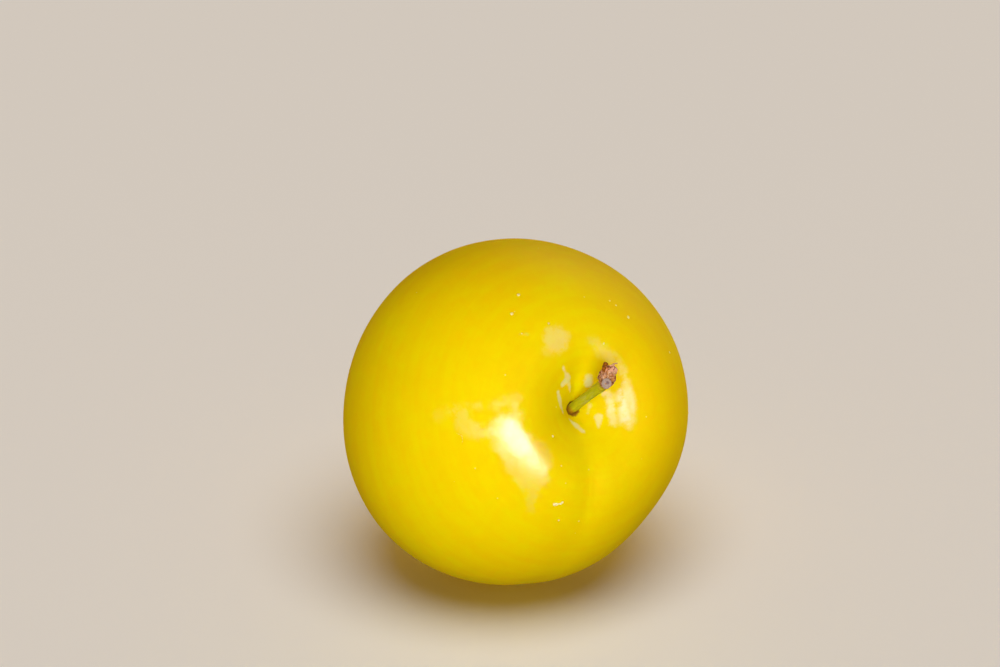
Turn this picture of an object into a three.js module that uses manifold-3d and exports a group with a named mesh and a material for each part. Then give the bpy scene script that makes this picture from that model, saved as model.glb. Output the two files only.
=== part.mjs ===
// A ripe yellow plum, picked with its stem, lying on its side with the stem end raised.
// Millimetres, +Z up. The origin is the middle of the small flat spot that the fruit rests on.
// The fruit is shaped in axes of its own, +Z from the blossom end to the stem, and then laid down.

import * as THREE from 'three';
import { mergeVertices } from 'three/addons/utils/BufferGeometryUtils.js';
import Module from 'manifold-3d';

const wasm = await Module();
wasm.setup();

const degree = Math.PI / 180;

// How the fruit lies
const stemElevation = 24; // degrees, the stem axis above the floor
const centreHeight = 26.15;
const centreShift = { x: 0.3, y: 0.25 };

// Body
const equatorRadius = 27.2;
const stemHalf = 26.4; // centre to the stem pole, before the cavity is sunk
const blossomHalf = 26.8;
const shoulderFullness = 0.025; // how much broader the stem half is
const lobes = [
  { count: 2, swell: 0.014, angle: 29 },
  { count: 3, swell: 0.0087, angle: -21 },
  { count: 4, swell: 0.006, angle: 21 },
];
const flatCheek = { angle: -57, depth: 0.85, halfWidth: 22 };

// Stem cavity: a wide basin with a narrow funnel at its bottom
const basin = { depth: 7, width: 8.6 };
const funnel = { depth: 2.3, width: 2.4 };
const cavityFloor = stemHalf - basin.depth - funnel.depth;

// Suture: a shallow valley from the cavity to the blossom end. A short fold crosses the cavity from it.
const suture = { angle: -104, shoulderDepth: 0.5, sideDepth: 0.14, halfWidth: 2.6 };
const shoulderAt = { theta: 25, spread: 18 }; // degrees from the stem pole
const cavityFold = { angle: 88, depth: 0.5, halfWidth: 17, radius: 4.8, spread: 2.6 };

// Blossom end: a slight dimple with the dry point that the flower leaves
const dimple = { depth: 0.5, width: 4.5 };
const blossomPoint = { height: 0.45, width: 0.7 };

// Stem, from the middle of the cavity floor: a root in the socket, then leaning to the upper side
const stemPath = [
  [-0.15, -0.45, -1.3],
  [0, 0, 0],
  [0.34, 1.02, 2.9],
  [0.74, 2.14, 6],
  [1.02, 3.15, 8.9],
];
const stemRadii = [0.7, 0.78, 0.78, 0.77, 0.78, 0.8, 0.84, 0.88];
const endRounding = { stem: 0.3, collar: 0.2, horn: 0.15 };
const socket = { radius: 1.2, depth: 1.9 };

// Dried tip, in axes from the end of the stem: x to the side it bends, z along the stem
const tipGap = 0.3;
const tipBend = [0.33, 0.89, -0.32]; // its x, in the fruit's axes
const collar = { radii: [0.82, 0.92, 0.92, 0.8], length: 0.85 };
const scar = { centre: [-0.36, 0.2, 1.3], facing: [-0.34, 0.36, 0.87], radius: 0.8, rim: 0.14, depth: 0.75 };
const lumps = [
  { centre: [0.95, -0.12, 0.72], size: [0.86, 1.14, 0.76], facets: 16 },
  { centre: [0.8, 0.56, 0.5], size: [0.72, 0.5, 0.58], facets: 11 },
  { centre: [0.2, -0.85, 0.7], size: [0.62, 0.52, 0.58], facets: 11 },
  { centre: [0.66, -1.12, 1.2], size: [0.54, 0.47, 0.52], facets: 11 },
  { centre: [1.85, -0.3, 1.68], size: [0.7, 0.64, 0.62], facets: 12 },
  { centre: [1.78, -0.92, 1.74], size: [0.68, 0.58, 0.64], facets: 12 },
];
const wrinkle = { depth: 0.07, pitches: [3.4, 4.4, 5.8] };
const hook = {
  path: [[1.6, 0.17, 1.0], [2.2, 0.24, 1.3], [2.58, 0.2, 1.6], [2.8, 0.1, 1.9]],
  radii: [0.38, 0.4, 0.37, 0.36],
};
const wisp = { path: [[2.22, -0.58, 1.83], [2.57, -0.94, 2.28], [2.6, -1.39, 2.62]], radii: [0.26, 0.15, 0.1] };
const budScales = { count: 6, from: -80, to: 165, ring: 1.0, size: [0.3, 0.6, 0.72], tilt: 24 };
const budScaleCentre = [0.85, -0.1, 0.6];

// Facets. The rows of the fruit stand closer together at its two poles, by poleDensity.
const fruitFacets = { around: 72, rows: 46, poleDensity: 0.6 };
const stemFacets = { sides: 18, steps: 26 };
const collarFacets = { sides: 18, steps: 10 };
const hornFacets = { sides: 10, steps: 10 };
const holeSides = 24;
const scarSides = 18;
const scaleFacets = { around: 8, rows: 6 };
const rowsToAround = 0.7; // rows of a lump for each facet round it

const colours = {
  skin: new THREE.MeshStandardMaterial({ color: 0xf2d403, roughness: 0.38, metalness: 0 }),
  stalk: new THREE.MeshStandardMaterial({ color: 0x9ba317, roughness: 0.6, metalness: 0 }),
  dried: new THREE.MeshStandardMaterial({ color: 0x8c5a42, roughness: 0.85, metalness: 0 }),
};

// ---------------------------------------------------------------- solids and geometries

function solidFrom(geometry) {
  const bare = geometry.clone();
  bare.deleteAttribute('normal');
  bare.deleteAttribute('uv');
  const merged = mergeVertices(bare, 1e-4);
  return new wasm.Manifold(new wasm.Mesh({
    numProp: 3,
    vertProperties: new Float32Array(merged.attributes.position.array),
    triVerts: new Uint32Array(merged.index.array),
  }));
}

function geometryFrom(solid) {
  const mesh = solid.getMesh();
  const geometry = new THREE.BufferGeometry();
  geometry.setAttribute('position', new THREE.BufferAttribute(mesh.vertProperties, 3));
  geometry.setIndex(new THREE.BufferAttribute(mesh.triVerts, 1));
  geometry.computeVertexNormals();
  return geometry;
}

// The outer skin of a solid alone, so that what joining seals inside it is filled
function outerSkin(solid) {
  const shells = solid.decompose();
  return shells.reduce((largest, shell) => (shell.volume() > largest.volume() ? shell : largest));
}

function moveVertices(geometry, place) {
  const position = geometry.attributes.position;
  const vertex = new THREE.Vector3();
  for (let i = 0; i < position.count; i += 1) {
    vertex.fromBufferAttribute(position, i);
    place(vertex);
    position.setXYZ(i, vertex.x, vertex.y, vertex.z);
  }
  return geometry;
}

// A bell curve: 1 at 0, and 1/e at the width
function bell(distance, width) {
  return Math.exp(-((distance / width) ** 2));
}

// Degrees from one direction round the stem axis to another, within half a turn
function turnBetween(phi, angle) {
  const turn = phi / degree - angle;
  return turn - 360 * Math.round(turn / 360);
}

// ---------------------------------------------------------------- fruit

function cavityDepth(radius, phi) {
  const turnToFold = turnBetween(phi, cavityFold.angle);
  const fold = cavityFold.depth * bell(turnToFold, cavityFold.halfWidth)
    * bell(radius - cavityFold.radius, cavityFold.spread);
  return basin.depth * bell(radius, basin.width) + funnel.depth * bell(radius, funnel.width) + fold;
}

function sutureDepth(theta, radius, phi) {
  const across = radius * Math.sin(turnBetween(phi, suture.angle) * degree);
  const facesIt = Math.abs(turnBetween(phi, suture.angle)) < 90;
  const atShoulder = suture.shoulderDepth * bell(theta / degree - shoulderAt.theta, shoulderAt.spread);
  const onSide = suture.sideDepth * Math.sin(theta);
  return facesIt ? (atShoulder + onSide) * bell(across, suture.halfWidth) : 0;
}

// The skin at an angle theta from the stem pole and phi round the stem axis
function skinPoint(theta, phi, target) {
  const sine = Math.sin(theta);
  const cosine = Math.cos(theta);
  let swell = 1 + shoulderFullness * cosine;
  for (const lobe of lobes) {
    swell += lobe.swell * sine ** 2 * Math.cos(lobe.count * (phi - lobe.angle * degree));
  }
  const cheek = flatCheek.depth * sine ** 1.5 * bell(turnBetween(phi, flatCheek.angle), flatCheek.halfWidth);
  const plain = equatorRadius * sine * swell - cheek;
  const valley = sutureDepth(theta, plain, phi);
  const radius = plain - valley * sine;
  const dryPoint = blossomPoint.height * bell(radius, blossomPoint.width);
  const blossomEnd = dimple.depth * bell(radius, dimple.width) - dryPoint;
  const height = cosine > 0
    ? stemHalf * cosine - cavityDepth(radius, phi) - valley * cosine
    : blossomHalf * cosine - valley * cosine + blossomEnd;
  return target.set(radius * Math.cos(phi), radius * Math.sin(phi), height);
}

function fruitBody() {
  const body = new THREE.SphereGeometry(1, fruitFacets.around, fruitFacets.rows).rotateX(90 * degree);
  return moveVertices(body, (vertex) => {
    const even = Math.acos(THREE.MathUtils.clamp(vertex.z, -1, 1));
    const theta = even - fruitFacets.poleDensity / 2 * Math.sin(2 * even);
    skinPoint(theta, Math.atan2(vertex.y, vertex.x), vertex);
  });
}

function stemSocket() {
  const root = new THREE.Vector3(...stemPath[0]);
  const out = root.clone().negate().normalize();
  const hole = new THREE.CylinderGeometry(socket.radius, socket.radius, 2 * socket.depth, holeSides);
  hole.applyQuaternion(new THREE.Quaternion().setFromUnitVectors(new THREE.Vector3(0, 1, 0), out));
  return hole.translate(0, 0, cavityFloor);
}

function floorBlock(lie) {
  const size = 4 * equatorRadius;
  const block = new THREE.BoxGeometry(size, size, size).translate(0, 0, -size / 2);
  return block.applyMatrix4(lie.clone().invert());
}

function fruitGeometry(lie) {
  const whole = solidFrom(fruitBody());
  const hollowed = whole.subtract(solidFrom(stemSocket()));
  return geometryFrom(hollowed.subtract(solidFrom(floorBlock(lie))));
}

// ---------------------------------------------------------------- stem and tip

// A rod of changing radius along a smooth path, with rounded ends
function bentRod(path, radii, rounding, { sides, steps }) {
  const curve = new THREE.CatmullRomCurve3(path.map((point) => new THREE.Vector3(...point)));
  const length = curve.getLength();
  const outline = [];
  for (let i = 0; i <= steps; i += 1) {
    const along = (1 - Math.cos(i / steps * Math.PI)) / 2;
    const toEnd = Math.min(along, 1 - along) * length / rounding;
    const dome = Math.sqrt(1 - Math.max(0, 1 - toEnd) ** 2);
    outline.push(new THREE.Vector2(radiusAt(radii, along) * dome, along * length));
  }
  const reference = new THREE.Vector3(1, 0, 0);
  const lathe = new THREE.LatheGeometry(outline, sides);
  return moveVertices(lathe, (vertex) => {
    const along = THREE.MathUtils.clamp(vertex.y / length, 0, 1);
    const tangent = curve.getTangentAt(along);
    const side = reference.clone().addScaledVector(tangent, -reference.dot(tangent)).normalize();
    const other = side.clone().cross(tangent);
    const offset = side.multiplyScalar(vertex.x).addScaledVector(other, vertex.z);
    vertex.copy(curve.getPointAt(along)).add(offset);
  });
}

function radiusAt(radii, along) {
  const place = along * (radii.length - 1);
  const before = Math.min(Math.floor(place), radii.length - 2);
  return THREE.MathUtils.lerp(radii[before], radii[before + 1], place - before);
}

function stemGeometry() {
  return bentRod(stemPath, stemRadii, endRounding.stem, stemFacets).translate(0, 0, cavityFloor);
}

// The axes of the dried tip: z along the end of the stem, x to the side the tip bends
function tipAxes() {
  const end = new THREE.Vector3(...stemPath.at(-1));
  const along = end.clone().sub(new THREE.Vector3(...stemPath.at(-2))).normalize();
  const bend = new THREE.Vector3(...tipBend);
  bend.addScaledVector(along, -bend.dot(along)).normalize();
  const across = along.clone().cross(bend);
  return new THREE.Matrix4().makeBasis(bend, across, along).setPosition(end.x, end.y, end.z + cavityFloor);
}

// An uneven dried lump
function lumpGeometry(lump) {
  const ball = new THREE.SphereGeometry(1, lump.facets, Math.round(lump.facets * rowsToAround));
  const [slow, middle, quick] = wrinkle.pitches;
  return moveVertices(ball, (vertex) => {
    const waves = Math.sin(slow * (vertex.x + vertex.y)) + Math.sin(middle * (vertex.y - vertex.z))
      + Math.sin(quick * (vertex.z + vertex.x));
    vertex.multiplyScalar(1 + wrinkle.depth * waves);
    vertex.multiply(new THREE.Vector3(...lump.size));
    vertex.add(new THREE.Vector3(...lump.centre));
  });
}

// The pale round scar: a short disc with a raised rim and a dished face
function scarGeometry() {
  const { radius, rim, depth } = scar;
  const outline = [[0, -depth], [0.9, -depth], [1, -rim], [0.94, 0], [0.78, 0], [0.6, -rim], [0, -rim / 2]];
  const points = outline.map(([share, height]) => new THREE.Vector2(share * radius, height));
  const disc = new THREE.LatheGeometry(points, scarSides);
  const facing = new THREE.Vector3(...scar.facing).normalize();
  disc.applyQuaternion(new THREE.Quaternion().setFromUnitVectors(new THREE.Vector3(0, 1, 0), facing));
  return disc.translate(...scar.centre);
}

// One dry scale of the bud, leaning out from the knob
function budScaleGeometry(turn) {
  const { ring, size, tilt } = budScales;
  const scale = new THREE.SphereGeometry(1, scaleFacets.around, scaleFacets.rows).scale(...size);
  scale.rotateY(tilt * degree).translate(ring, 0, 0).rotateZ(turn * degree);
  return scale.translate(...budScaleCentre);
}

function tipGeometry() {
  const collarPath = [[0, 0, tipGap], [0, 0, collar.length]];
  const collarRod = bentRod(collarPath, collar.radii, endRounding.collar, collarFacets);
  const pieces = [collarRod, scarGeometry(), ...lumps.map(lumpGeometry)];
  for (let i = 0; i < budScales.count; i += 1) {
    const place = i / (budScales.count - 1);
    pieces.push(budScaleGeometry(THREE.MathUtils.lerp(budScales.from, budScales.to, place)));
  }
  for (const horn of [hook, wisp]) {
    pieces.push(bentRod(horn.path, horn.radii, endRounding.horn, hornFacets));
  }
  let knob = solidFrom(pieces[0]);
  for (const piece of pieces.slice(1)) {
    knob = knob.add(solidFrom(piece));
  }
  return geometryFrom(outerSkin(knob)).applyMatrix4(tipAxes());
}

// ---------------------------------------------------------------- the plum

function namedMesh(name, geometry, material) {
  const mesh = new THREE.Mesh(geometry, material);
  mesh.name = name;
  return mesh;
}

const lyingFruit = new THREE.Group();
lyingFruit.rotation.x = (90 - stemElevation) * degree;
lyingFruit.position.set(centreShift.x, centreShift.y, centreHeight);
lyingFruit.updateMatrix();

lyingFruit.add(namedMesh('fruit', fruitGeometry(lyingFruit.matrix), colours.skin));
lyingFruit.add(namedMesh('stem', stemGeometry(), colours.stalk));
lyingFruit.add(namedMesh('stem_tip', tipGeometry(), colours.dried));

const plum = new THREE.Group();
plum.add(lyingFruit);

export default plum;
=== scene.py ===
import math

import bmesh
import bpy
import numpy as np
from mathutils import Matrix, Vector, noise


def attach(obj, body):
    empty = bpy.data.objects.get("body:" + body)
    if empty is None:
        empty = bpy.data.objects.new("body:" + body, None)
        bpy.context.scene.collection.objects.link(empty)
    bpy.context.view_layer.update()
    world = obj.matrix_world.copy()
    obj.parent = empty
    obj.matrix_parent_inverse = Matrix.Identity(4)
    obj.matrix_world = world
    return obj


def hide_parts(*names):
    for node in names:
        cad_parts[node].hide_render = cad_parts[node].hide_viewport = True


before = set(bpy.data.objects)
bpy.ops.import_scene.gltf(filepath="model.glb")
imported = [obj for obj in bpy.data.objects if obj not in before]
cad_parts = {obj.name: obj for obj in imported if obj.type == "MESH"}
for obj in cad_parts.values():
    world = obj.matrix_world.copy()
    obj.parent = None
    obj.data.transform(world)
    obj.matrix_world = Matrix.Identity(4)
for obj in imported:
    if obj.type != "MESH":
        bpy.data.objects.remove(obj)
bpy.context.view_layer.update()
print("frame loaded")

mm = 0.001
boxInset = 0.9975  # the fine skin stays just inside the faceted one
weld = 1e-5  # mm, points closer than this are joined

# ---- how the fruit lies: everything on it is shaped in its own axes, in mm, +Z up the stem

fruitPlace = {"turn": math.radians(66), "centre": Vector((0.3, 0.25, 26.15)) * mm}
lie = (
    Matrix.Translation(fruitPlace["centre"])
    @ Matrix.Rotation(fruitPlace["turn"], 4, "X")
    @ Matrix.Scale(mm, 4)
)


# ---- small helpers for shapes

def bell(distance, width):
    return np.exp(-((distance / width) ** 2))


def smoothStep(low, high, value):
    share = np.clip((value - low) / (high - low), 0, 1)
    return share * share * (3 - 2 * share)


def turnBetween(phi, angle):  # degrees, within half a turn
    turn = np.degrees(phi) - angle
    return turn - 360 * np.round(turn / 360)


def lerp(a, b, share):
    return a + (b - a) * share


def readAlong(values, share):  # a value between evenly spaced ones
    place = min(max(share, 0), 1) * (len(values) - 1)
    before = min(int(place), len(values) - 2)
    return lerp(values[before], values[before + 1], place - before)


def smoothPath(points, steps):  # evenly spaced points on a smooth curve through the given ones
    knots = [Vector(point) for point in points]
    knots = [2 * knots[0] - knots[1]] + knots + [2 * knots[-1] - knots[-2]]
    dense = []
    for i in range(1, len(knots) - 2):
        before, start, end, after = knots[i - 1:i + 3]
        for j in range(40):
            t = j / 40
            dense.append(0.5 * (
                2 * start + (end - before) * t
                + (2 * before - 5 * start + 4 * end - after) * t ** 2
                + (3 * start - before - 3 * end + after) * t ** 3
            ))
    dense.append(knots[-2])
    lengths = [0]
    for a, b in zip(dense, dense[1:]):
        lengths.append(lengths[-1] + (b - a).length)
    even = []
    at = 0
    for i in range(steps + 1):
        wanted = lengths[-1] * i / steps
        while at < len(dense) - 2 and lengths[at + 1] < wanted:
            at += 1
        gap = lengths[at + 1] - lengths[at]
        even.append(dense[at].lerp(dense[at + 1], min((wanted - lengths[at]) / gap, 1)))
    return even, lengths[-1]


def spinRound(bm, verts, edges, sides):  # turns an outline round Z and joins where it meets
    bmesh.ops.spin(bm, geom=verts + edges, cent=(0, 0, 0), axis=(0, 0, 1), dvec=(0, 0, 0),
                   angle=2 * math.pi, steps=sides, use_merge=True, use_duplicate=False)
    bmesh.ops.remove_doubles(bm, verts=bm.verts, dist=weld)


def turnedRod(radii, length, rounding, sides, steps):  # a straight rod on Z with domed ends
    bm = bmesh.new()
    outline = []
    for i in range(steps + 1):
        share = (1 - math.cos(i / steps * math.pi)) / 2
        toEnd = min(share, 1 - share) * length / rounding
        dome = math.sqrt(max(1 - max(0, 1 - toEnd) ** 2, 0))
        outline.append(bm.verts.new((readAlong(radii, share) * dome, 0, share * length)))
    edges = [bm.edges.new(pair) for pair in zip(outline, outline[1:])]
    spinRound(bm, outline, edges, sides)
    bmesh.ops.recalc_face_normals(bm, faces=bm.faces)
    return bm


def bendAlong(bm, path, length, reference=Vector((1, 0, 0))):  # lays the rod's Z along a path
    last = len(path) - 1
    for vert in bm.verts:
        place = min(max(vert.co.z / length, 0), 1) * last
        at = min(int(place), last - 1)
        tangent = (path[min(at + 2, last)] - path[max(at - 1, 0)]).normalized()
        side = (reference - tangent * reference.dot(tangent)).normalized()
        other = tangent.cross(side)
        vert.co = path[at].lerp(path[at + 1], place - at) + side * vert.co.x + other * vert.co.y


def meshObject(name, bm):
    mesh = bpy.data.meshes.new(name)
    bm.to_mesh(mesh)
    bm.free()
    made = bpy.data.objects.new(name, mesh)
    bpy.context.scene.collection.objects.link(made)
    return made


def addField(piece, name, values):  # one number per point, for its finish to read
    layer = piece.data.attributes.new(name, "FLOAT", "POINT")
    layer.data.foreach_set("value", values)


def finishPiece(name, bm, matrix, material):
    bm.transform(matrix)
    for face in bm.faces:
        face.smooth = True
    piece = meshObject(name, bm)
    piece.data.materials.append(material)
    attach(piece, "root")
    return piece


# ---- small helpers for finishes

class Value:  # a node's output that takes part in sums
    def __init__(self, finish, made, output=0):
        self.finish = finish
        self.made = made
        self.socket = made.outputs[output] if made.outputs else None

    def of(self, output):
        return Value(self.finish, self.made, output)

    def sum(self, operation, a, b):
        return self.finish.node("ShaderNodeMath", {"operation": operation}, {0: a, 1: b})

    def __add__(self, other):
        return self.sum("ADD", self, other)

    def __radd__(self, other):
        return self.sum("ADD", other, self)

    def __sub__(self, other):
        return self.sum("SUBTRACT", self, other)

    def __rsub__(self, other):
        return self.sum("SUBTRACT", other, self)

    def __mul__(self, other):
        return self.sum("MULTIPLY", self, other)

    def __rmul__(self, other):
        return self.sum("MULTIPLY", other, self)


class Finish:  # one material and its nodes
    def __init__(self, name):
        self.material = bpy.data.materials.new(name)
        self.material.use_nodes = True
        self.tree = self.material.node_tree
        self.tree.nodes.clear()

    def node(self, kind, settings=None, sockets=None, output=0):
        made = self.tree.nodes.new(kind)
        for key, value in (settings or {}).items():
            if key == "stops":
                self.setStops(made.color_ramp, value)
            else:
                setattr(made, key, value)
        for key, value in (sockets or {}).items():
            if isinstance(value, Value):
                self.tree.links.new(value.socket, made.inputs[key])
            else:
                made.inputs[key].default_value = value
        return Value(self, made, output)

    def setStops(self, ramp, stops):
        while len(ramp.elements) < len(stops):
            ramp.elements.new(0.5)
        for element, (position, colour) in zip(ramp.elements, stops):
            element.position = position
            element.color = (*colour, 1)

    def place(self):
        return self.node("ShaderNodeTexCoord", output="Object")

    def inMillimetres(self):
        return self.node("ShaderNodeMapping", {"vector_type": "TEXTURE"},
                         {"Vector": self.place(), "Scale": (mm, mm, mm)})

    def inFruitAxes(self, lean=0.0, stretch=1):  # mm, and stretched along the stem
        return self.node("ShaderNodeMapping", {"vector_type": "TEXTURE"}, {
            "Vector": self.place(), "Location": fruitPlace["centre"],
            "Rotation": (fruitPlace["turn"] - lean, 0, 0), "Scale": (mm, mm, mm * stretch)})

    def noise(self, vector, scale, detail=2.0, roughness=0.5):
        return self.node("ShaderNodeTexNoise", {"noise_dimensions": "3D"},
                         {"Vector": vector, "Scale": scale, "Detail": detail, "Roughness": roughness})

    def ease(self, value, low, high, toLow=0.0, toHigh=1.0):  # smooth step between two values
        return self.node("ShaderNodeMapRange", {"interpolation_type": "SMOOTHSTEP"},
                         {"Value": value, "From Min": low, "From Max": high,
                          "To Min": toLow, "To Max": toHigh})

    def mix(self, factor, a, b):  # colours
        a, b = (c if isinstance(c, Value) else (*c, 1) for c in (a, b))
        return self.node("ShaderNodeMix", {"data_type": "RGBA"}, {0: factor, 6: a, 7: b}, output=2)

    def attribute(self, name):
        return self.node("ShaderNodeAttribute", {"attribute_name": name}, output="Fac")

    def bump(self, height, distance, strength=1.0, normal=None):
        sockets = {"Height": height, "Distance": distance, "Strength": strength}
        if normal:
            sockets["Normal"] = normal
        return self.node("ShaderNodeBump", None, sockets)

    def surface(self, sockets):
        shader = self.node("ShaderNodeBsdfPrincipled", None, sockets)
        self.node("ShaderNodeOutputMaterial", None, {"Surface": shader})
        return self.material


# ---- skin shape

skin = {
    "around": 320, "rows": 256, "poleDensity": 0.6, "seamWeld": 1e-4,
    "equatorRadius": 27.2, "stemHalf": 26.4, "blossomHalf": 26.8, "shoulderFullness": 0.025,
    "lobes": [(2, 0.014, 29), (3, 0.0087, -21), (4, 0.006, 21)],  # count, swell, degrees
    "flatCheek": {"angle": -57, "depth": 0.85, "halfWidth": 22},
    "basin": {"depth": 7, "width": 8.6}, "funnel": {"depth": 2.3, "width": 2.4},
    "suture": {"angle": -104, "shoulderDepth": 0.5, "sideDepth": 0.14, "halfWidth": 2.6},
    "shoulderAt": {"theta": 25, "spread": 18},
    "cavityFold": {"angle": 88, "depth": 0.5, "halfWidth": 17, "radius": 4.8, "spread": 2.6},
    "dimple": {"depth": 0.5, "width": 4.5}, "blossomPoint": {"height": 0.45, "width": 0.7},
    "socket": {"inner": 0.75, "outer": 1.05, "depth": 0.5},
    "uneven": [(9.0, 0.045), (3.2, 0.014)],  # size and height of the slight waves, mm
}
cavityFloor = skin["stemHalf"] - skin["basin"]["depth"] - skin["funnel"]["depth"]


def skinPoints(theta, phi):  # arrays of angles, from the stem pole and round the stem axis
    sine, cosine = np.sin(theta), np.cos(theta)
    swell = 1 + skin["shoulderFullness"] * cosine
    for count, height, angle in skin["lobes"]:
        swell = swell + height * sine ** 2 * np.cos(count * (phi - math.radians(angle)))
    cheek = skin["flatCheek"]
    flat = cheek["depth"] * sine ** 1.5 * bell(turnBetween(phi, cheek["angle"]), cheek["halfWidth"])
    plain = skin["equatorRadius"] * sine * swell - flat
    suture, shoulder = skin["suture"], skin["shoulderAt"]
    toSuture = turnBetween(phi, suture["angle"])
    valley = suture["shoulderDepth"] * bell(np.degrees(theta) - shoulder["theta"], shoulder["spread"])
    valley = (valley + suture["sideDepth"] * sine) * (abs(toSuture) < 90)
    valley = valley * bell(plain * np.sin(np.radians(toSuture)), suture["halfWidth"])
    radius = plain - valley * sine
    basin, funnel, fold, socket = (skin[name] for name in ("basin", "funnel", "cavityFold", "socket"))
    dip = (basin["depth"] * bell(radius, basin["width"])
           + funnel["depth"] * bell(radius, funnel["width"]))
    dip += (fold["depth"] * bell(turnBetween(phi, fold["angle"]), fold["halfWidth"])
            * bell(radius - fold["radius"], fold["spread"]))
    dip += socket["depth"] * (1 - smoothStep(socket["inner"], socket["outer"], radius))
    dimple, point = skin["dimple"], skin["blossomPoint"]
    rise = (dimple["depth"] * bell(radius, dimple["width"])
            - point["height"] * bell(radius, point["width"]))
    stemSide = skin["stemHalf"] * cosine - dip
    blossomSide = skin["blossomHalf"] * cosine + rise
    height = np.where(cosine > 0, stemSide, blossomSide) - valley * cosine
    return np.stack((radius * np.cos(phi), radius * np.sin(phi), height), axis=-1)


# ---- skin finish: a dull bloom, rubbed through to gloss in patches

skinLook = {
    "lemon": (0.87, 0.685, 0.0), "golden": (0.88, 0.645, 0.0), "greenish": (0.83, 0.68, 0.0),
    "ochre": (0.88, 0.55, 0.0), "amber": (0.88, 0.555, 0.0), "cork": (0.36, 0.17, 0.012),
    # film: pale bloom, and partly a painted highlight where the rubbed patches catch the lamps
    "film": (0.90, 0.90, 0.66), "speck": (0.95, 0.82, 0.30),
    # painted shade: what the skin turns to towards its outline as the camera sees it, along an axis
    # of the fruit: axis, from, to in mm, share, colour
    "paintedShadeTurns": [("Z", 8, -20, 0.65, "ochre"), ("X", 2, 17, 0.6, "amber"),
              ("Y", 16, 28, 0.45, "ochre"), ("Y", -15, -27, 0.4, "ochre")],
    "dullRoughness": 0.55, "glossRoughness": 0.27, "ragged": 3.0, "finelyRagged": 0.7,
    "skinIndex": 1.15, "coatIndex": 1.85, "specular": 0.15,
    "cloudSize": 0.07, "driftSize": 0.035, "driftPlace": (40, 7, 23), "arcSize": 0.06, "arcRings": 16,
    "speckSpacing": 0.42, "speckShare": 0.55, "poreHeight": 0.02, "waveHeight": 0.12,
    "corkRadius": (1.35, 1.05), "corkRagged": 0.7,
    "glow": {"weight": 0.45, "radius": (1.0, 0.4, 0.1), "scale": 0.0035},
}
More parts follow.
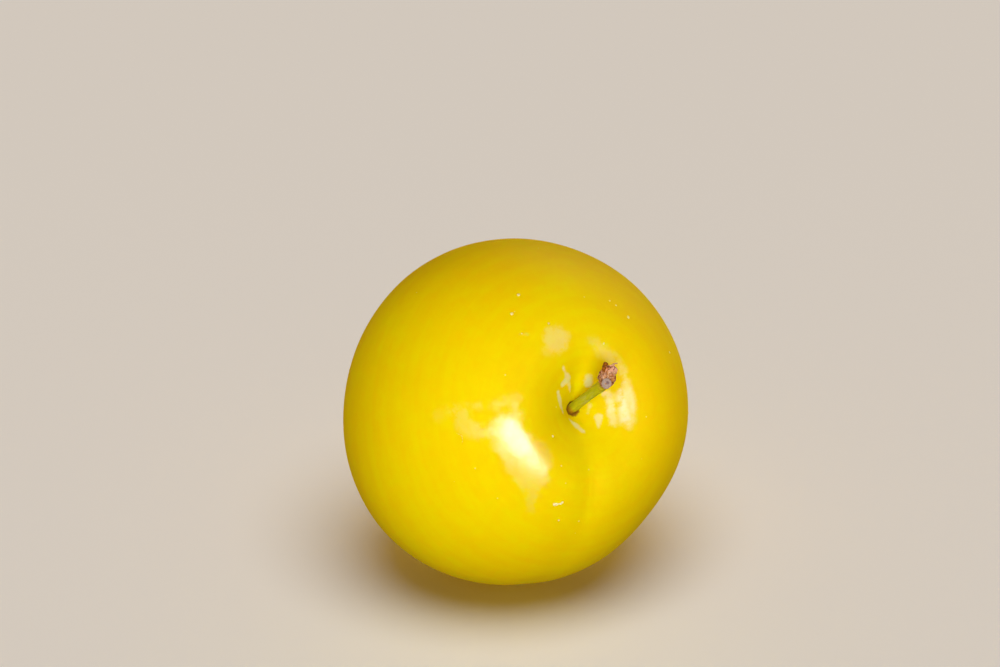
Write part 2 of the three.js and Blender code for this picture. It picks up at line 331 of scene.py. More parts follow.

# rubbed patches: gloss, pale film (bloom, and partly a painted highlight where the patches catch the
# lamps), edge width in mm, and a stroke of (u, v, w, radius) in mm
rubbedStrokes = [
    (1.0, 0.03, 2.0, [(-14.1, 0.7, 22.1, 1.3), (-14.0, -0.9, 22.2, 1.9), (-13.3, -2.8, 22.4, 2.0)]),
    (0.8, 0.03, 1.8, [(-13.3, -2.8, 22.4, 1.9), (-12.3, -5.2, 22.5, 2.1), (-12.0, -7.0, 22.3, 1.6)]),
    (0.7, 0.06, 1.6, [(-11.6, -5.0, 22.6, 2.9), (-12.3, -8.1, 22.0, 2.3), (-12.4, -10.0, 21.4, 1.1),
                       (-12.7, -12.7, 20.0, 0.35)]),
    (0.55, 0.06, 1.6, [(-14.9, 0.4, 21.8, 2.3), (-14.5, -1.6, 21.9, 2.9), (-13.4, -4.2, 22.1, 3.0),
                      (-12.8, -7.0, 22.0, 2.5)]),
    (0.28, 0.03, 1.7, [(-12.8, 3.8, 22.4, 0.9), (-13.0, 2.4, 22.5, 1.2), (-13.1, 0.8, 22.5, 1.4)]),
    (0.22, 0.08, 1.5, [(-15.8, 0.3, 21.4, 1.1), (-17.6, 0.6, 20.2, 1.0), (-19.2, 1.6, 18.9, 1.3)]),
    (0.22, 0.08, 1.5, [(-19.6, 2.4, 18.4, 1.4), (-19.6, 4.0, 18.1, 1.3), (-20.3, 4.9, 17.4, 0.9)]),
    (0.2, 0.04, 1.3, [(-18.6, 5.3, 18.9, 0.5), (-17.5, 4.8, 19.8, 0.6)]),
    (0.12, 0.02, 1.8, [(-21.0, 4.8, 16.4, 0.9), (-22.1, 4.5, 15.0, 0.8)]),
    (0.2, 0.02, 1.6, [(-15.6, 4.2, 21.1, 0.7), (-13.9, 4.6, 22.0, 0.8), (-12.3, 4.6, 22.7, 0.9)]),
    (0.4, 0.18, 1.5, [(-3.2, 11.5, 22.8, 2.1), (-3.1, 11.3, 22.8, 2.1)]),
    (0.2, 0.06, 1.4, [(-5.6, 10.2, 22.8, 0.7), (-4.6, 10.2, 22.9, 0.8)]),
    (0.4, 0.10, 0.6, [(-9.0, 13.7, 21.1, 0.15), (-7.4, 13.3, 21.8, 0.15)]),
    (0.5, 0.09, 2.0, [(3.0, 9.6, 22.7, 0.7), (4.4, 8.0, 22.6, 1.0), (5.6, 6.0, 22.4, 0.8)]),
    (0.3, 0.09, 1.5, [(6.8, 5.4, 22.6, 0.4), (7.3, 3.7, 22.5, 0.6)]),
    # these lie on the cavity's right wall and floor: their thick film is a painted highlight as well
    # as bloom
    (0.25, 0.26, 1.1, [(7.4, 3.4, 22.4, 0.3), (7.3, 1.8, 22.3, 0.7), (7.2, 0.0, 22.1, 1.0),
                       (7.0, -2.0, 22.1, 1.1), (6.5, -3.4, 22.1, 0.9), (6.1, -4.4, 22.2, 0.5)]),
    (0.25, 0.54, 1.1, [(6.4, 1.0, 21.9, 0.3), (6.3, -0.6, 21.8, 0.6), (6.1, -3.4, 22.0, 0.9)]),
    (0.2, 0.34, 1.0, [(4.8, 1.0, 20.8, 0.4), (4.6, -0.4, 20.9, 0.7), (4.5, -2.2, 21.0, 0.9),
                      (4.1, -3.5, 21.2, 0.5)]),
    (0.2, 0.14, 1.0, [(5.9, 0.4, 21.4, 0.5), (5.3, -3.3, 21.6, 0.8)]),
    (0.8, 0.48, 1.0, [(2.0, 4.2, 20.7, 0.6), (2.1, 3.4, 20.2, 0.7)]),
    (0.4, 0.30, 0.5, [(4.1, 1.1, 20.5, 0.35), (4.4, 1.2, 20.7, 0.3)]),
    (0.4, 0.36, 0.5, [(2.6, -2.3, 19.9, 0.75), (2.0, -3.5, 20.3, 0.15)]),
    (0.4, 0.20, 0.6, [(2.2, -0.2, 18.8, 0.35), (1.8, -1.2, 18.6, 0.25)]),
    (0.5, 0.42, 0.45, [(-2.8, 7.1, 22.2, 0.2), (-2.3, 6.0, 21.6, 0.35), (-1.8, 4.9, 21.0, 0.7),
                       (-2.9, 4.5, 21.1, 0.5)]),
    (0.5, 0.32, 0.45, [(-1.5, 4.1, 20.5, 0.35), (-0.9, 2.7, 19.4, 0.2)]),
    (0.5, 0.44, 0.4, [(-4.0, 3.4, 21.1, 0.35), (-3.6, 1.6, 20.3, 0.5), (-3.1, 0.2, 19.6, 0.35)]),
    (0.5, 0.46, 0.45, [(-1.6, -1.4, 18.6, 0.35), (-1.1, -2.4, 19.0, 0.55), (-0.6, -3.5, 19.8, 0.4)]),
]
# more of them round the far side: strokes of (theta, phi, radius), in degrees and mm
farStrokes = [
    (0.5, 0.03, 1.4, [(78, 14, 1.4), (84, 20, 2.6), (92, 18, 1.5), (99, 14, 0.5)]),
    (0.25, 0.02, 1.7, [(80, 36, 0.8), (86, 30, 1.2)]),
    (0.45, 0.03, 1.5, [(112, 92, 0.8), (117, 100, 2.0), (124, 104, 1.5), (130, 112, 0.4)]),
    (0.25, 0.02, 1.8, [(128, 132, 0.8), (131, 140, 1.1), (136, 143, 0.4)]),
    (0.4, 0.03, 1.5, [(120, -20, 0.8), (112, -12, 2.0), (104, -8, 1.4), (98, -10, 0.4)]),
    (0.3, 0.02, 1.7, [(126, 50, 1.6), (133, 62, 1.2), (136, 74, 0.4)]),
    (0.3, 0.02, 1.8, [(128, 186, 0.7), (134, 194, 1.5), (142, 198, 0.6)]),
    (0.25, 0.02, 1.7, [(150, -90, 1.2), (154, -110, 0.6)]),
    (0.35, 0.03, 1.5, [(82, -40, 0.5), (88, -36, 1.3), (96, -38, 0.7)]),
]


def strokeField(points, stroke):  # mm inside a stroke's edge, below 0 outside it
    field = np.full(len(points), -99.0)
    for start, end in zip(stroke, stroke[1:]):
        a, b = np.array(start[:3]), np.array(end[:3])
        along = np.clip(((points - a) @ (b - a)) / ((b - a) @ (b - a)), 0, 1)
        radius = start[3] + (end[3] - start[3]) * along
        gap = np.linalg.norm(points - a - along[:, None] * (b - a), axis=1)
        field = np.maximum(field, radius - gap)
    return field


def addRubbedFields(piece, points):
    strokes = list(rubbedStrokes)
    for gloss, film, edge, stroke in farStrokes:
        placed = [(*skinPoints(math.radians(t), math.radians(p)), r) for t, p, r in stroke]
        strokes.append((gloss, film, edge, placed))
    rubbed = np.full(len(points), -3.0)
    crisp = np.ones(len(points))
    glossy, filmed = np.zeros(len(points)), np.zeros(len(points))
    for gloss, film, edge, stroke in strokes:
        field = strokeField(points, stroke)
        near = smoothStep(-0.5 * edge - 0.2, 0.5 * edge, field)
        crisp = np.where(field > rubbed, 1 / edge, crisp)
        rubbed = np.maximum(rubbed, field)
        glossy = np.maximum(glossy, gloss * near)
        filmed = np.maximum(filmed, film * near)
    layers = {"rubbed": rubbed, "crisp": crisp, "glossy": glossy, "filmed": filmed}
    for name, values in layers.items():
        addField(piece, name, values.astype(np.float32))


def skinFinish():
    f = Finish("plumSkin")
    fruit = f.inFruitAxes()
    axes = f.node("ShaderNodeSeparateXYZ", None, {"Vector": fruit})
    u, v, w = (axes.of(name) for name in "XYZ")
    outward = f.node("ShaderNodeVectorMath", {"operation": "NORMALIZE"}, {0: fruit})
    facing = f.node("ShaderNodeSeparateXYZ", None, {"Vector": outward})
    theta = f.node("ShaderNodeMath", {"operation": "ARCCOSINE"}, {0: facing.of("Z")})
    flatPlace = f.node("ShaderNodeCombineXYZ", None, {"X": u, "Y": v})
    reach = f.node("ShaderNodeVectorMath", {"operation": "LENGTH"}, {0: flatPlace}, output="Value")

    # colour: soft clouds, and fine arcs round the stem
    clouds = f.noise(fruit, skinLook["cloudSize"], 3.0, 0.55)
    elsewhere = f.node("ShaderNodeVectorMath", {"operation": "ADD"},
                       {0: fruit, 1: skinLook["driftPlace"]})
    drift = f.noise(elsewhere, skinLook["driftSize"], 2.0)
    arcPlace = f.node("ShaderNodeCombineXYZ", None, {
        "X": u * skinLook["arcSize"], "Y": v * skinLook["arcSize"],
        "Z": theta * skinLook["arcRings"]})
    arcs = f.noise(arcPlace, 1.0, 3.0, 0.6)
    grain = f.noise(fruit, 0.6, 4.0, 0.6)
    colour = f.mix(f.ease(clouds, 0.38, 0.68), skinLook["lemon"], skinLook["golden"])
    colour = f.mix(f.ease(drift, 0.5, 0.75) * 0.7, colour, skinLook["greenish"])
    # painted shade: ochre and amber towards the fruit's outline as the camera sees it
    for axis, low, high, share, shadeTint in skinLook["paintedShadeTurns"]:
        colour = f.mix(f.ease(axes.of(axis), low, high) * share, colour, skinLook[shadeTint])
    shade = f.ease(arcs, 0.3, 0.7, 0.968, 1.02) * f.ease(grain, 0.3, 0.7, 0.985, 1.015)
    tone = f.node("ShaderNodeCombineColor", None, {"Red": 1.0, "Green": shade, "Blue": 1.0})
    colour = f.node("ShaderNodeMix", {"data_type": "RGBA", "blend_type": "MULTIPLY"},
                    {0: 1.0, 6: colour, 7: tone}, output=2)

    # where the bloom is rubbed off, and a pale film that is partly painted highlight
    ragged = (f.noise(fruit, 0.55, 4.0, 0.65) - 0.5) * skinLook["ragged"]
    streaks = f.noise(fruit, 3.4, 3.0, 0.6)
    edge = f.attribute("rubbed") * f.attribute("crisp") + ragged
    frayed = (streaks - 0.5) * skinLook["finelyRagged"] * (1 - f.attribute("filmed") * 2)
    patch = f.ease(edge + frayed + 0.5, 0, 1)
    worn = f.noise(fruit, 1.1, 3.0, 0.6)
    glossy = f.attribute("glossy")
    mask = patch * glossy * (1 - f.ease(worn, 0.62, 0.36) * (1 - glossy) * 0.65)
    # pale film: bloom, and a painted highlight where the patches catch the lamps
    film = patch * f.attribute("filmed") * f.ease(worn, 0.3, 0.7, 0.82, 1.1)
    colour = f.mix(film, colour, skinLook["film"])

    # tiny pale specks and pores
    cells = f.node("ShaderNodeTexVoronoi", {"feature": "F1"},
                   {"Vector": fruit, "Scale": skinLook["speckSpacing"]})
    chosen = f.node("ShaderNodeSeparateColor", None, {"Color": cells.of("Color")})
    specks = f.ease(cells.of("Distance"), 0.07, 0.035) * f.ease(chosen.of("Red"), 0.72, 0.74)
    colour = f.mix(specks * skinLook["speckShare"], colour, skinLook["speck"])

    # cork at the stem's foot
    corkEdge = reach + (f.noise(fruit, 1.6, 3.0) - 0.5) * skinLook["corkRagged"]
    cork = f.ease(corkEdge, *skinLook["corkRadius"]) * f.ease(w, 0, 1)
    colour = f.mix(cork, colour, skinLook["cork"])

    dull = f.ease(grain, 0.3, 0.7,
                  skinLook["dullRoughness"] - 0.04, skinLook["dullRoughness"] + 0.05)
    pores = f.noise(fruit, 2.6, 3.0, 0.6)
    bump = f.bump(pores, skinLook["poreHeight"] * mm, 0.6)
    bump = f.bump(f.noise(fruit, 0.35, 2.0), skinLook["waveHeight"] * mm, 0.5, bump)
    glow = skinLook["glow"]
    return f.surface({
        "Base Color": colour, "Roughness": dull,
        "IOR": skinLook["skinIndex"], "Specular IOR Level": skinLook["specular"],
        "Subsurface Weight": glow["weight"], "Subsurface Radius": glow["radius"],
        "Subsurface Scale": glow["scale"],
        "Coat Weight": mask, "Coat Roughness": skinLook["glossRoughness"],
        "Coat IOR": skinLook["coatIndex"], "Normal": bump,
    })


def makeSkin():
    bm = bmesh.new()
    bmesh.ops.create_grid(bm, x_segments=skin["around"], y_segments=skin["rows"], size=0.5)
    seam = [vert for vert in bm.verts if vert.is_boundary]
    sheet = np.array([vert.co for vert in bm.verts])
    even = np.pi * (0.5 - sheet[:, 1])
    theta = even - skin["poleDensity"] / 2 * np.sin(2 * even)
    places = skinPoints(theta, 2 * np.pi * sheet[:, 0]) * boxInset
    for vert, place, sine in zip(bm.verts, places, np.sin(theta)):
        vert.co = place
        waves = sum(height * noise.noise(vert.co / size) for size, height in skin["uneven"])
        vert.co += vert.co.normalized() * (waves * sine)
    bmesh.ops.remove_doubles(bm, verts=seam, dist=skin["seamWeld"])  # closes it and both poles
    bmesh.ops.recalc_face_normals(bm, faces=bm.faces)
    points = np.array([vert.co for vert in bm.verts])
    bm.transform(lie)
    for vert in bm.verts:
        vert.co.z = max(vert.co.z, 0)  # the flat spot it rests on
    piece = finishPiece("plumSkin", bm, Matrix.Identity(4), skinFinish())
    addRubbedFields(piece, points)
    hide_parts("fruit")
    return piece


plumSkin = makeSkin()
print("skin made")

# ---- stalk

stalk = {
    "path": [(-0.15, -0.45, -1.3), (0, 0, 0), (0.34, 1.02, 2.9), (0.74, 2.14, 6), (1.02, 3.15, 8.9)],
    "radii": [0.70, 0.78, 0.78, 0.77, 0.78, 0.80, 0.84, 0.88], "rounding": 0.3,
    "sides": 56, "steps": 110, "ribs": [(5, 0.028, 0.8), (9, 0.014, -1.4), (17, 0.007, 0.5)],
    "rough": 0.03, "lean": math.radians(19), "fibreStretch": 4,
    "green": (0.39, 0.405, 0.004), "pale": (0.50, 0.49, 0.006), "film": (0.64, 0.62, 0.24),
    "brown": (0.42, 0.20, 0.006), "olive": (0.28, 0.27, 0.002),
}


def stalkFinish():
    f = Finish("greenStalk")
    share = f.attribute("along")
    stretched = f.inFruitAxes(stalk["lean"], stalk["fibreStretch"])
    fibres = f.noise(stretched, 2.6, 4.0, 0.6)
    patches = f.noise(stretched, 0.9, 3.0, 0.6)
    colour = f.mix(f.ease(fibres, 0.35, 0.65), stalk["green"], stalk["pale"])
    colour = f.mix(f.ease(patches, 0.5, 0.7) * 0.6, colour, stalk["olive"])
    film = f.ease(share, 0.22, 0.36) * f.ease(share, 0.95, 0.8) * f.ease(patches, 0.5, 0.62)
    colour = f.mix(film * 0.3, colour, stalk["film"])
    foot = f.ease(share + (patches - 0.5) * 0.2, 0.24, 0.13)
    colour = f.mix(foot, colour, stalk["brown"])
    end = f.ease(share + (fibres - 0.5) * 0.08, 0.93, 0.985)
    colour = f.mix(end * 0.35, colour, stalk["brown"])
    return f.surface({
        "Base Color": colour, "Roughness": f.ease(fibres, 0.3, 0.7, 0.5, 0.68),
        "Specular IOR Level": 0.25,
        "Subsurface Weight": 0.12, "Subsurface Radius": (0.8, 1.0, 0.2), "Subsurface Scale": 0.0006,
        "Normal": f.bump(fibres, 0.05 * mm, 0.7),
    })


def makeStalk():
    path, length = smoothPath(stalk["path"], stalk["steps"])
    bm = turnedRod(stalk["radii"], length, stalk["rounding"], stalk["sides"], stalk["steps"])
    along = [vert.co.z / length for vert in bm.verts]
    for vert in bm.verts:
        angle = math.atan2(vert.co.y, vert.co.x)
        share = vert.co.z / length
        swell = 1
        for count, height, twist in stalk["ribs"]:
            swell += height * (math.cos(count * angle + twist * 6 * share) - 0.5)
        grown = Vector((vert.co.x, vert.co.y, vert.co.z * 0.4)) * 1.3
        swell += stalk["rough"] * noise.noise(grown)
        vert.co.x *= swell
        vert.co.y *= swell
    bendAlong(bm, path, length)
    piece = finishPiece("greenStalk", bm, lie @ Matrix.Translation((0, 0, cavityFloor)),
                        stalkFinish())
    addField(piece, "along", along)
    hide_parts("stem")


makeStalk()
print("stalk made")

# ---- cork ring at the stalk's foot

corkRing = {"radius": 1.07, "thick": 0.12, "height": 0.2, "sides": 72, "section": 12,
            "rough": 0.09, "finelyRough": 0.04, "wavy": 0.12, "sunk": 0.05, "crumbSize": 1.3,
            "dark": (0.30, 0.12, 0.005), "light": (0.55, 0.29, 0.015)}


def corkFinish(name, dark, light, size=2.5):
    f = Finish(name)
    place = f.inMillimetres()
    crumbs = f.noise(place, size, 5.0, 0.65)
    return f.surface({
        "Base Color": f.mix(f.ease(crumbs, 0.35, 0.65), dark, light),
        "Roughness": f.ease(crumbs, 0.3, 0.7, 0.95, 0.75), "Specular IOR Level": 0.25,
        "Normal": f.bump(crumbs, 0.08 * mm),
    })


def makeCorkRing():
    bm = bmesh.new()
    section = [bm.verts.new((corkRing["radius"] + corkRing["thick"] * math.cos(a), 0,
                             corkRing["height"] * math.sin(a)))
               for a in (2 * math.pi * i / corkRing["section"] for i in range(corkRing["section"]))]
    edges = [bm.edges.new((a, b)) for a, b in zip(section, section[1:] + section[:1])]
    spinRound(bm, section, edges, corkRing["sides"])
    bmesh.ops.recalc_face_normals(bm, faces=bm.faces)
    for vert in bm.verts:
        angle = math.atan2(vert.co.y, vert.co.x)
        crumb = (corkRing["rough"] * noise.noise(vert.co * 2.2)
                 + corkRing["finelyRough"] * noise.noise(vert.co * 6))
        reach = 1 + crumb
        vert.co.x *= reach
        vert.co.y *= reach
        around = Vector((math.cos(angle), math.sin(angle), 3)) * 1.6
        vert.co.z += corkRing["wavy"] * noise.noise(around)
        vert.co.z -= corkRing["sunk"]
    return finishPiece("corkRing", bm, lie @ Matrix.Translation((0, 0, cavityFloor)),
                       corkFinish("cork", corkRing["dark"], corkRing["light"],
                                  corkRing["crumbSize"]))


makeCorkRing()
print("cork ring made")

# ---- dried tip, in axes from the end of the stalk: x to the side it bends, z along the stalk

tip = {
    "bend": (0.33, 0.89, -0.32),
    "lumps": [
        ((0.95, -0.14, 0.72), (0.87, 1.13, 0.77)), ((0.8, 0.56, 0.5), (0.73, 0.51, 0.59)),
        ((0.2, -0.85, 0.7), (0.63, 0.53, 0.59)), ((0.66, -1.14, 1.2), (0.57, 0.5, 0.55)),
        ((1.85, -0.3, 1.68), (0.72, 0.66, 0.64)), ((1.78, -0.92, 1.74), (0.70, 0.61, 0.66)),
    ],
    "collar": ([0.80, 0.90, 0.90, 0.78], 0.3, 0.85),
    "collarRounding": 0.2, "voxel": 0.05, "ridge": 0.2, "rough": 0.05, "crack": 0.12,
    "crackSeed": 1795486185,  # noise_vector reads the clock until a seed is set
    "dark": (0.22, 0.075, 0.02), "red": (0.55, 0.22, 0.05), "pink": (0.78, 0.40, 0.27),
    "crust": (0.76, 0.53, 0.34), "mauve": (0.42, 0.19, 0.11), "orange": (0.80, 0.20, 0.03),
    "orangeSpot": ((1.95, 0.12, 1.95), 0.34),
}
scar = {"centre": (-0.36, 0.2, 1.3), "facing": (-0.34, 0.36, 0.87), "radius": 0.78, "rim": 0.13,
        "depth": 0.6, "sides": 64, "rough": 0.05, "flatter": 0.96,
        "pale": (0.47, 0.355, 0.29), "core": (0.24, 0.15, 0.14),
        "mark": (0.12, -0.16)}
budScales = {"count": 6, "from": -80, "to": 165, "ring": 0.97, "size": (0.26, 0.56, 0.68),
             "tilt": 24, "centre": (0.85, -0.1, 0.6), "narrows": 0.45, "thin": 0.8, "cupped": 0.16,
             "rough": 0.05, "crumbSize": 2.2,
             "dark": (0.17, 0.06, 0.012), "light": (0.52, 0.25, 0.09)}
hornShape = {"sides": 24, "steps": 30, "rounding": 0.15, "rough": 0.25, "finelyRough": 0.1}
hook = {"path": [(1.6, 0.17, 1.0), (2.2, 0.24, 1.3), (2.58, 0.2, 1.6), (2.8, 0.1, 1.9)],
        "radii": [0.38, 0.4, 0.36, 0.36], "dark": (0.13, 0.04, 0.003), "light": (0.42, 0.13, 0.01)}
wisp = {"path": [(2.22, -0.58, 1.83), (2.57, -0.94, 2.28), (2.6, -1.39, 2.62)],
        "radii": [0.26, 0.15, 0.08], "dark": (0.45, 0.22, 0.08), "light": (0.62, 0.38, 0.18)}


def tipAxes():
    end, before = Vector(stalk["path"][-1]), Vector(stalk["path"][-2])
    along = (end - before).normalized()
    bend = Vector(tip["bend"])
    bend = (bend - along * bend.dot(along)).normalized()
    axes = Matrix((bend, along.cross(bend), along)).transposed().to_4x4()
    return Matrix.Translation((end.x, end.y, end.z + cavityFloor)) @ axes


tipPlace = lie @ tipAxes()


def addBall(bm, centre, size, divisions=4):
    made = bmesh.ops.create_icosphere(bm, subdivisions=divisions, radius=1)["verts"]
    bmesh.ops.scale(bm, vec=size, verts=made)
    bmesh.ops.translate(bm, vec=centre, verts=made)
    return made


def voxelSkin(bm, voxel):  # one closed skin round everything in bm
    rough = meshObject("rough", bm)
    mesh = rough.data
    remesh = rough.modifiers.new("skin", "REMESH")
    remesh.mode = "VOXEL"
    remesh.voxel_size = voxel
    bpy.context.view_layer.update()
    worked = rough.evaluated_get(bpy.context.evaluated_depsgraph_get())
    shaped = bpy.data.meshes.new_from_object(worked)
    result = bmesh.new()
    result.from_mesh(shaped)
    bpy.data.objects.remove(rough)
    bpy.data.meshes.remove(mesh)
    bpy.data.meshes.remove(shaped)
    return result


def driedFinish():
    f = Finish("driedTip")
    place = f.inMillimetres()
    blotches = f.noise(place, 1.1, 3.0, 0.6)
    crust = f.noise(place, 3.2, 4.0, 0.7)
    colour = f.mix(f.ease(blotches, 0.42, 0.6), tip["red"], tip["mauve"])
    colour = f.mix(f.ease(crust, 0.48, 0.62) * 0.8, colour, tip["crust"])
    flush = f.ease(f.attribute("towardsEnd") + (blotches - 0.5) * 0.7, 0.4, 0.7)
    colour = f.mix(flush * f.ease(crust, 0.3, 0.6, 0.75, 1.0), colour, tip["pink"])
    colour = f.mix(f.attribute("orangeField"), colour, tip["orange"])
    colour = f.mix(f.ease(f.attribute("crackField"), 0.25, 0.8), colour, tip["dark"])
    return f.surface({
        "Base Color": colour, "Roughness": f.ease(crust, 0.3, 0.7, 0.9, 0.7),
        "Specular IOR Level": 0.3, "Normal": f.bump(crust, 0.06 * mm),
    })


def makeDriedTip():
    bm = bmesh.new()
    for centre, size in tip["lumps"]:
        addBall(bm, centre, size)
    radii, foot, top = tip["collar"]
    collar = turnedRod(radii, top - foot, tip["collarRounding"], 40, 16)
    bmesh.ops.translate(collar, vec=(0, 0, foot), verts=collar.verts)
    mesh = bpy.data.meshes.new("collar")
    collar.to_mesh(mesh)
    collar.free()
    bm.from_mesh(mesh)
    bpy.data.meshes.remove(mesh)
    bm = voxelSkin(bm, tip["voxel"])
    bm.normal_update()
    noise.seed_set(tip["crackSeed"])
    cracks = []
    moves = []
    for vert in bm.verts:
        grainPlace = Vector((vert.co.x * 0.7, vert.co.y * 1.15, vert.co.z * 0.7))
        warp = noise.noise_vector(vert.co * 1.7) * 0.35
        near = noise.voronoi(grainPlace + warp)[0]
        crack = bell(near[1] - near[0], 0.1) * smoothStep(-0.25, 0.15, noise.noise(vert.co * 1.3))
        bulge = (tip["ridge"] * noise.noise(vert.co * 1.8)
                 + tip["rough"] * noise.noise(vert.co * 5))
        moves.append(vert.normal * (bulge - tip["crack"] * crack))
        cracks.append(crack)
    towards, orange = [], []
    spot, width = Vector(tip["orangeSpot"][0]), tip["orangeSpot"][1]
    for vert, move in zip(bm.verts, moves):
        towards.append(min(max((vert.co.x - 0.6) / 1.4, 0), 1))
        orange.append(bell((vert.co - spot).length, width))
        vert.co += move
    piece = finishPiece("driedTip", bm, tipPlace, driedFinish())
    addField(piece, "crackField", cracks)
    addField(piece, "towardsEnd", towards)
    addField(piece, "orangeField", orange)
    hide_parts("stem_tip")


def scarFinish():
    f = Finish("paleScar")
    rings = f.attribute("fromMiddle")
    place = f.inMillimetres()
    crumbs = f.noise(place, 4.0, 4.0, 0.65)
    middle = f.ease(rings + (crumbs - 0.5) * 0.5, 0.5, 0.18)
    colour = f.mix(f.ease(crumbs, 0.3, 0.75) * 0.45, scar["pale"], scar["core"])
    colour = f.mix(middle, colour, scar["core"])
    return f.surface({"Base Color": colour, "Roughness": 0.85, "Specular IOR Level": 0.3,
                      "Normal": f.bump(crumbs, 0.07 * mm)})


def makeScar():
    radius, rim, depth = scar["radius"], scar["rim"], scar["depth"]
    outline = [(0, -depth), (0.86, -depth), (0.97, -rim * 1.6), (1, -rim * 0.6), (0.95, -0.01),
               (0.86, 0.0), (0.76, -0.02), (0.62, -rim * 0.7), (0.42, -rim), (0.2, -rim * 0.7),
               (0, -rim * 0.55)]  # share of the radius, height in mm
    bm = bmesh.new()
    verts = [bm.verts.new((share * radius, 0, height)) for share, height in outline]
    edges = [bm.edges.new(pair) for pair in zip(verts, verts[1:])]
    spinRound(bm, verts, edges, scar["sides"])
    bmesh.ops.subdivide_edges(bm, edges=bm.edges, cuts=1, use_grid_fill=True, smooth=0.4)
    bmesh.ops.recalc_face_normals(bm, faces=bm.faces)
    fromMiddle = []
    for vert in bm.verts:
        off = math.hypot(vert.co.x - scar["mark"][0], vert.co.y - scar["mark"][1])
        fromMiddle.append(off / radius if vert.co.z > -rim * 1.5 else 1.0)
        crumb = noise.noise(vert.co * 3 + Vector((5, 0, 0)))
        vert.co.x *= 1 + scar["rough"] * crumb
        vert.co.y *= scar["flatter"] + scar["rough"] * crumb
        vert.co.z += scar["rough"] * noise.noise(vert.co * 4)
    turn = Vector((0, 0, 1)).rotation_difference(Vector(scar["facing"])).to_matrix().to_4x4()
    piece = finishPiece("tipScar", bm, tipPlace @ Matrix.Translation(scar["centre"]) @ turn,
                        scarFinish())
    addField(piece, "fromMiddle", fromMiddle)


def makeBudScales(material):
    bm = bmesh.new()
    for i in range(budScales["count"]):
        share = i / (budScales["count"] - 1)
        turn = math.radians(lerp(budScales["from"], budScales["to"], share))
        verts = addBall(bm, (0, 0, 0), (1, 1, 1), 3)
        for vert in verts:
            x, y, z = vert.co
            point = 1 - budScales["narrows"] * max(z, 0) ** 1.5  # narrows to its point
            sx, sy, sz = budScales["size"]
            cup = budScales["cupped"] * y * y
            vert.co = Vector((x * sx * budScales["thin"] + cup, y * sy * point, z * sz))
            crumb = noise.noise(vert.co * 4 + Vector((i, 0, 0)))
            vert.co += Vector((1, 1, 1)) * budScales["rough"] * crumb
        bmesh.ops.rotate(bm, cent=(0, 0, 0), verts=verts,
                         matrix=Matrix.Rotation(math.radians(budScales["tilt"]), 3, "Y"))
        bmesh.ops.translate(bm, vec=(budScales["ring"], 0, 0), verts=verts)
        bmesh.ops.rotate(bm, cent=(0, 0, 0), verts=verts, matrix=Matrix.Rotation(turn, 3, "Z"))
        bmesh.ops.translate(bm, vec=budScales["centre"], verts=verts)
    return finishPiece("budScales", bm, tipPlace, material)


def makeHorn(name, horn, material):
    path, length = smoothPath(horn["path"], hornShape["steps"])
    bm = turnedRod(horn["radii"], length, hornShape["rounding"], hornShape["sides"],
                   hornShape["steps"])
    for vert in bm.verts:
        crumb = (1 + hornShape["rough"] * noise.noise(vert.co * 3.5)
                 + hornShape["finelyRough"] * noise.noise(vert.co * 9))
        vert.co.x *= crumb
        vert.co.y *= crumb
    bendAlong(bm, path, length, Vector((0, 1, 0)))
    return finishPiece(name, bm, tipPlace, material)


makeDriedTip()
makeScar()
makeBudScales(corkFinish("budScale", budScales["dark"], budScales["light"],
                         budScales["crumbSize"]))
makeHorn("tipHook", hook, corkFinish("hookBark", hook["dark"], hook["light"]))
makeHorn("tipWisp", wisp, corkFinish("wispBark", wisp["dark"], wisp["light"]))
print("tip made")

# ---- loose flakes and flecks on the skin, in fruit axes: (u, v, w, radius) in mm

flecks = {
    "flake": [[(-9.4, -12.7, 21.5, 0.26), (-9.1, -12.8, 21.6, 0.24), (-8.8, -12.8, 21.7, 0.1),
               (-8.4, -12.9, 21.8, 0.17), (-8.2, -12.75, 21.9, 0.21)]],
    "curl": [[(-20.9, 1.6, 17.2, 0.05), (-20.3, 0.9, 17.9, 0.08), (-20.3, 0.2, 17.9, 0.06),
              (-20.6, -0.4, 17.7, 0.05)]],
    "dots": [(-5.3, 19.1, 18.4, 0.26), (-7.9, 16.7, 19.6, 0.26), (-8.1, 13.6, 21.5, 0.12),
             (-3.5, 14.0, 22.2, 0.18), (11.1, 11.5, 21.4, 0.24), (9.8, 13.7, 20.8, 0.16),
             (9.0, 14.6, 20.5, 0.14), (-7.4, -2.6, 22.3, 0.2), (-8.6, -15.4, 20.3, 0.16),
             (4.8, 8.8, 22.8, 0.16), (-12.6, 8.2, 21.4, 0.14),
             (17.5, 4.2, 19.0, 0.16), (21.6, -6.0, 13.5, 0.18), (14.2, 18.8, 8.6, 0.2),
             (-3.8, 24.5, -7.6, 0.18), (22.9, 9.7, -8.2, 0.2), (-19.5, 12.2, -12.8, 0.16),
             (9.4, -17.2, -18.1, 0.18), (17.8, -14.6, -13.6, 0.14), (6.2, 10.1, -24.0, 0.16)],
    "flat": 0.42, "voxel": 0.045, "spacing": 0.09, "rough": 0.07, "crumbSize": 3.0,
    "white": (0.96, 0.87, 0.42), "cream": (0.95, 0.81, 0.20), "faint": (0.93, 0.77, 0.09),
}


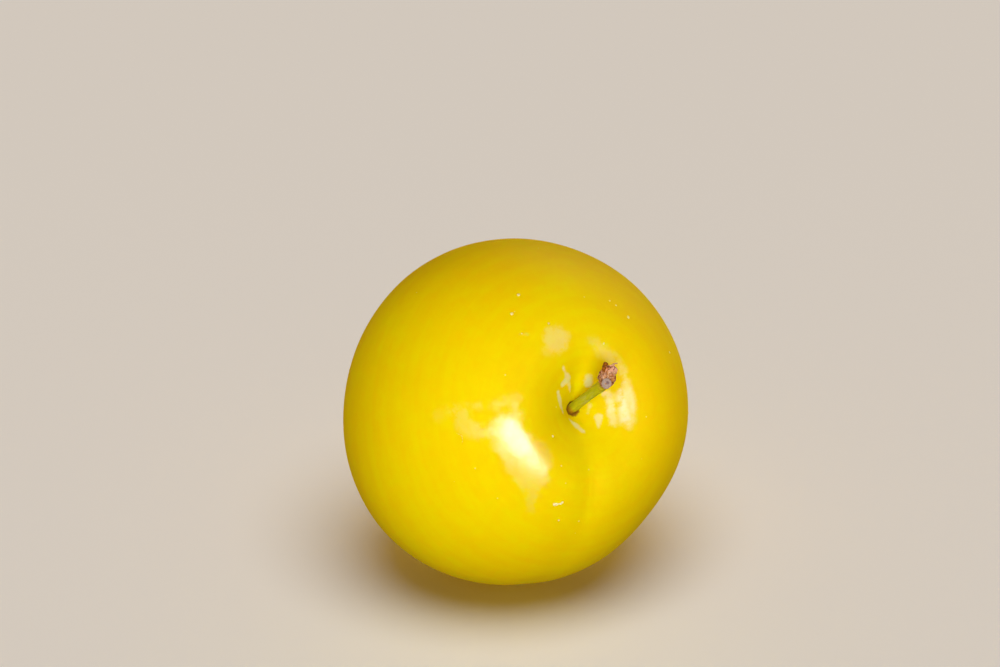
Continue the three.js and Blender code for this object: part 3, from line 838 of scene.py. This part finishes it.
def addFlecks(name, strokes, colours, fruitSkin):
    bm = bmesh.new()
    for stroke in strokes:
        spots = []
        for start, end in zip(stroke, stroke[1:] or stroke):
            count = max(1, round(math.dist(start[:3], end[:3]) / flecks["spacing"]))
            spots += [Vector(start).lerp(Vector(end), i / count) for i in range(count + 1)]
        for spot in spots:
            _, at, normal, _ = fruitSkin.closest_point_on_mesh(lie @ spot.xyz)
            outward = normal.to_track_quat("Z", "Y").to_matrix().to_4x4()
            lift = Matrix.Translation(at / mm) @ outward
            ball = addBall(bm, (0, 0, 0), (spot.w, spot.w, spot.w * flecks["flat"]), 3)
            bmesh.ops.transform(bm, matrix=lift, verts=ball)
    bm = voxelSkin(bm, flecks["voxel"])
    bm.normal_update()
    for vert in bm.verts:
        vert.co += vert.normal * flecks["rough"] * noise.noise(vert.co * 4)
    return finishPiece(name, bm, Matrix.Scale(mm, 4),
                       corkFinish(name, *colours, flecks["crumbSize"]))


addFlecks("skinFlakes", flecks["flake"], (flecks["white"], flecks["white"]), plumSkin)
addFlecks("skinFlecks", [[dot] for dot in flecks["dots"]], (flecks["cream"], flecks["white"]),
          plumSkin)
addFlecks("skinCurl", flecks["curl"], (flecks["faint"], flecks["faint"]), plumSkin)
print("flecks made")

# ---- floor, light and camera

studio = {
    "floorRadius": 4.0, "floorSides": 96, "floor": (0.90, 0.89, 0.875),
    "world": (1.0, 0.68, 0.34), "worldStrength": 0.21,
    # name, azimuth, elevation, distance, width, height, tilt, radiance, part, colour.
    # the part is what it does: shade lights without being reflected, gloss is only reflected,
    # and only in the skin, all does both. every lamp falls on the plum alone
    "lights": [
        ("key", -22, 22, 0.62, 0.34, 0.22, -26, 4.7, "shade", "white"),
        ("front", -39, 32, 0.80, 0.55, 0.50, 0, 2.65, "all", "white"),
        ("left", -95, 20, 0.90, 0.50, 0.50, 0, 0.75, "all", "white"),
        ("right", 93, 27, 0.90, 0.50, 0.40, 0, 1.6, "shade", "white"),
        ("fill", -34, 7, 0.90, 0.70, 0.22, 0, 5.7, "shade", "white"),
        ("rearLeft", 178, 6, 0.90, 0.50, 0.34, 0, 2.5, "shade", "warm"),
        ("rearRight", 112, 11, 0.90, 0.50, 0.34, 0, 2.9, "shade", "warm"),
        ("bounce", 146, -22, 0.90, 0.90, 0.60, 0, 2.5, "shade", "warm"),
        ("softbox", -10.5, 17, 0.62, 0.57, 0.24, 0, 6.3, "gloss", "white"),
        ("softboxFoot", 5, 8.5, 0.62, 0.28, 0.15, 0, 3.9, "gloss", "white"),
        ("softboxGlow", -14, 16, 0.62, 0.90, 0.44, 0, 1.9, "gloss", "white"),
        ("rearGloss", 128, 32, 0.70, 0.34, 0.24, 0, 4.0, "gloss", "white"),
        ("sideGloss", 70, 34, 0.70, 0.30, 0.24, 0, 4.0, "gloss", "white"),
    ],
    "colours": {"white": (1, 1, 1), "warm": (1, 0.91, 0.72)},
    "sun": {"tilt": 16, "azimuth": -20, "angle": 50, "strength": 1.7},  # on the floor alone
}
cameraPlace = {"azimuth": -34, "elevation": 24.9, "distance": 0.65, "lens": 150, "sensor": 36,
               "clip": (0.01, 20),
               "target": Vector((1.424, 5.744, 37.316)) * mm}


def directionAt(azimuth, elevation):
    a, e = math.radians(azimuth), math.radians(elevation)
    return Vector((math.sin(a) * math.cos(e), -math.cos(a) * math.cos(e), math.sin(e)))


def makeFloor():
    bm = bmesh.new()
    bmesh.ops.create_circle(bm, cap_ends=True, segments=studio["floorSides"],
                            radius=studio["floorRadius"])
    floor = meshObject("floor", bm)
    f = Finish("paleFloor")
    floor.data.materials.append(f.surface({"Base Color": (*studio["floor"], 1), "Roughness": 0.7,
                                           "Specular IOR Level": 0.2}))
    floor.visible_diffuse = False  # it lights nothing, so the underside stays dark
    floor.visible_glossy = False
    return floor


def onlyOn(name, pieces):  # what a light falls on
    receivers = bpy.data.collections.new(name)
    for piece in pieces:
        receivers.objects.link(piece)
    return receivers


def makeLights(floor, fruitSkin):
    aim = fruitPlace["centre"]
    pieces = [piece for piece in bpy.data.objects if piece.type == "MESH" and piece != floor]
    onPlum, onSkin = onlyOn("litPlum", pieces), onlyOn("litSkin", [fruitSkin])
    for row in studio["lights"]:
        name, azimuth, elevation, distance, width, height, tilt, radiance, part, tint = row
        light = bpy.data.lights.new(name, "AREA")
        light.shape = "ELLIPSE" if part == "gloss" else "RECTANGLE"
        light.size = width
        light.size_y = height
        area = width * height * (math.pi / 4 if part == "gloss" else 1)
        light.energy = radiance * math.pi * area
        lamp = bpy.data.objects.new(name, light)
        bpy.context.scene.collection.objects.link(lamp)
        back = directionAt(azimuth, elevation)
        lamp.location = aim + back * distance
        tilted = Matrix.Rotation(math.radians(tilt), 3, "Z")
        lamp.rotation_euler = (back.to_track_quat("Z", "Y").to_matrix() @ tilted).to_euler()
        lamp.visible_camera = False
        lamp.visible_glossy = part != "shade"
        lamp.visible_diffuse = part != "gloss"
        lamp.light_linking.receiver_collection = onSkin if part == "gloss" else onPlum
        lamp.light_linking.blocker_collection = onPlum
        light.color = studio["colours"][tint]
    sun = bpy.data.lights.new("overFloor", "SUN")
    sun.energy = studio["sun"]["strength"]
    sun.angle = math.radians(studio["sun"]["angle"])
    overFloor = bpy.data.objects.new("overFloor", sun)
    bpy.context.scene.collection.objects.link(overFloor)
    above = directionAt(studio["sun"]["azimuth"], 90 - studio["sun"]["tilt"])
    overFloor.rotation_euler = above.to_track_quat("Z", "Y").to_euler()
    overFloor.light_linking.receiver_collection = onlyOn("litFloor", [floor])
    world = bpy.data.worlds.new("studio")
    world.use_nodes = True
    background = world.node_tree.nodes["Background"]
    background.inputs["Color"].default_value = (*studio["world"], 1)
    background.inputs["Strength"].default_value = studio["worldStrength"]
    bpy.context.scene.world = world


def makeCamera():
    camera = bpy.data.cameras.new("camera")
    camera.lens = cameraPlace["lens"]
    camera.sensor_width = cameraPlace["sensor"]
    camera.clip_start, camera.clip_end = cameraPlace["clip"]
    holder = bpy.data.objects.new("camera", camera)
    bpy.context.scene.collection.objects.link(holder)
    back = directionAt(cameraPlace["azimuth"], cameraPlace["elevation"])
    holder.location = cameraPlace["target"] + back * cameraPlace["distance"]
    holder.rotation_euler = back.to_track_quat("Z", "Y").to_euler()
    bpy.context.scene.camera = holder


makeLights(makeFloor(), plumSkin)
makeCamera()
bpy.context.scene.view_settings.view_transform = "Standard"
print("studio made")
